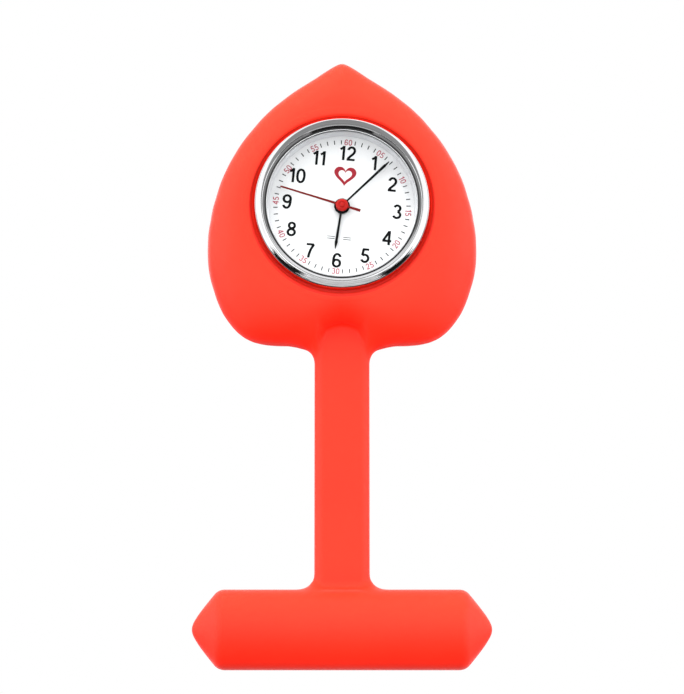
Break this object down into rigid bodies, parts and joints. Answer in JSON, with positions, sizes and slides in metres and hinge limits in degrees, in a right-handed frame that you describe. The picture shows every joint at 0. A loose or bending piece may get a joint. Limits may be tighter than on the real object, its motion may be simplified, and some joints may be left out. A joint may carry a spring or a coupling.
{
  "type": "fob watch",
  "caption": "Round quartz watch in a soft heart-shaped silicone holder, with a flat strap down to a T-bar that carries a brooch pin with a turning lock.",
  "frame": {"origin": "middle of the bounding box in X and Y, at the lowest point of the T-bar", "axes": "+Z from the T-bar to the tip of the heart, +X to the right of someone facing the dial, -Y out of the dial"},
  "size_m": [0.043, 0.0141, 0.0895],
  "materials": {
    "silicone": "matte moulded silicone",
    "bright_chrome": "polished",
    "case_steel": "satin",
    "pin_steel": "bright drawn",
    "crystal_glass": "clear mineral glass",
    "gasket_black": "matte",
    "flange_silver": "satin silver",
    "dial_white": "satin white paint with printed minute track",
    "hand_black": "satin",
    "hand_red": "satin",
    "brass": "turned",
    "movement_metal": "satin",
    "movement_plastic": "moulded",
    "holder_plastic": "moulded",
    "board_green": "solder mask",
    "chip_black": "epoxy",
    "copper_wire": "enamelled copper winding",
    "crown_metal": "polished, knurled"
  },
  "bodies": {
    "bar": {"silicone_bar": "silicone", "pin_plate": "pin_steel", "pin_rivet": "pin_steel", "pin_catch": "pin_steel"},
    "needle": {"pin_needle": "pin_steel"},
    "lock": {"pin_lock": "pin_steel"},
    "head": {"silicone_holder": "silicone", "case_body": "case_steel", "case_back": "case_steel", "case_back_gasket": "gasket_black", "bezel": "bright_chrome", "crystal": "crystal_glass", "crystal_gasket": "gasket_black", "inner_flange_ring": "flange_silver", "dial": "dial_white", "movement_holder": "holder_plastic", "main_plate": "movement_plastic", "train_bridge": "brass", "bridge_screw_1": "movement_metal", "bridge_screw_2": "movement_metal", "bridge_screw_3": "movement_metal", "dial_washer": "brass", "stator": "movement_metal", "coil_core": "movement_metal", "coil_winding": "copper_wire", "circuit_board": "board_green", "driver_chip": "chip_black", "quartz_crystal": "movement_metal", "battery": "movement_metal", "battery_contact_minus": "brass", "battery_contact_plus": "brass", "crown_tube": "case_steel", "setting_lever": "movement_metal"},
    "seconds": {"second_wheel": "brass", "second_hand": "hand_red"},
    "step_rotor": {"rotor": "movement_metal"},
    "intermediate": {"intermediate_wheel": "brass"},
    "third": {"third_wheel": "brass"},
    "minutes": {"centre_wheel": "brass", "minute_hand": "hand_black"},
    "motion_work": {"minute_wheel": "brass"},
    "hours": {"hour_wheel": "brass", "hour_hand": "hand_black"},
    "clutch": {"clutch_pinion": "movement_metal"},
    "crown_and_stem": {"crown": "crown_metal", "setting_stem": "movement_metal"}
  },
  "joints": [
    {"name": "strap_flex", "type": "hinge", "parent": "bar", "child": "head", "pos_m": [0, -0.00003, 0.02925], "axis": [1, 0, 0], "range_deg": [-90, 90], "stiffness_Nm_per_rad": 0.0017},
    {"name": "pin_hinge", "type": "hinge", "parent": "bar", "child": "needle", "pos_m": [-0.0132, 0.00543, 0.00575], "axis": [0, 0, 1], "range_deg": [0, 75]},
    {"name": "pin_lock_turn", "type": "hinge", "parent": "bar", "child": "lock", "pos_m": [0.0125, 0.00543, 0.00575], "axis": [1, 0, 0], "range_deg": [0, 90]},
    {"name": "second_hand_turn", "type": "hinge", "parent": "head", "child": "seconds", "pos_m": [0, -0.00082, 0.06732], "axis": [0, 1, 0], "continuous": true},
    {"name": "rotor_turn", "type": "hinge", "parent": "head", "child": "step_rotor", "pos_m": [-0.0039, -0.00082, 0.07106], "axis": [0, 1, 0], "continuous": true},
    {"name": "intermediate_turn", "type": "hinge", "parent": "head", "child": "intermediate", "pos_m": [-0.00191, -0.00082, 0.06963], "axis": [0, 1, 0], "continuous": true},
    {"name": "third_turn", "type": "hinge", "parent": "head", "child": "third", "pos_m": [0.00127, -0.00082, 0.06454], "axis": [0, 1, 0], "continuous": true},
    {"name": "minute_hand_turn", "type": "hinge", "parent": "head", "child": "minutes", "pos_m": [0, -0.00082, 0.06732], "axis": [0, 1, 0], "continuous": true},
    {"name": "minute_wheel_turn", "type": "hinge", "parent": "head", "child": "motion_work", "pos_m": [-0.00028, -0.00082, 0.06445], "axis": [0, 1, 0], "continuous": true},
    {"name": "hour_hand_turn", "type": "hinge", "parent": "head", "child": "hours", "pos_m": [0, -0.00082, 0.06732], "axis": [0, 1, 0], "continuous": true},
    {"name": "crown_turn", "type": "hinge", "parent": "head", "child": "clutch", "pos_m": [0.01394, -0.00143, 0.06598], "axis": [0.9954, 0, -0.0958], "continuous": true},
    {"name": "crown_pull", "type": "slide", "parent": "clutch", "child": "crown_and_stem", "axis": [0.9954, 0, -0.0958], "range_m": [0, 0.0012]}
  ],
  "couplings": [
    {"joint": "rotor_turn", "follows": "second_hand_turn", "ratio": 30},
    {"joint": "intermediate_turn", "follows": "second_hand_turn", "ratio": -5},
    {"joint": "third_turn", "follows": "second_hand_turn", "ratio": -0.13333},
    {"joint": "minute_hand_turn", "follows": "second_hand_turn", "ratio": 0.016667},
    {"joint": "minute_wheel_turn", "follows": "second_hand_turn", "ratio": -0.0055556},
    {"joint": "hour_hand_turn", "follows": "second_hand_turn", "ratio": 0.0013889}
  ]
}
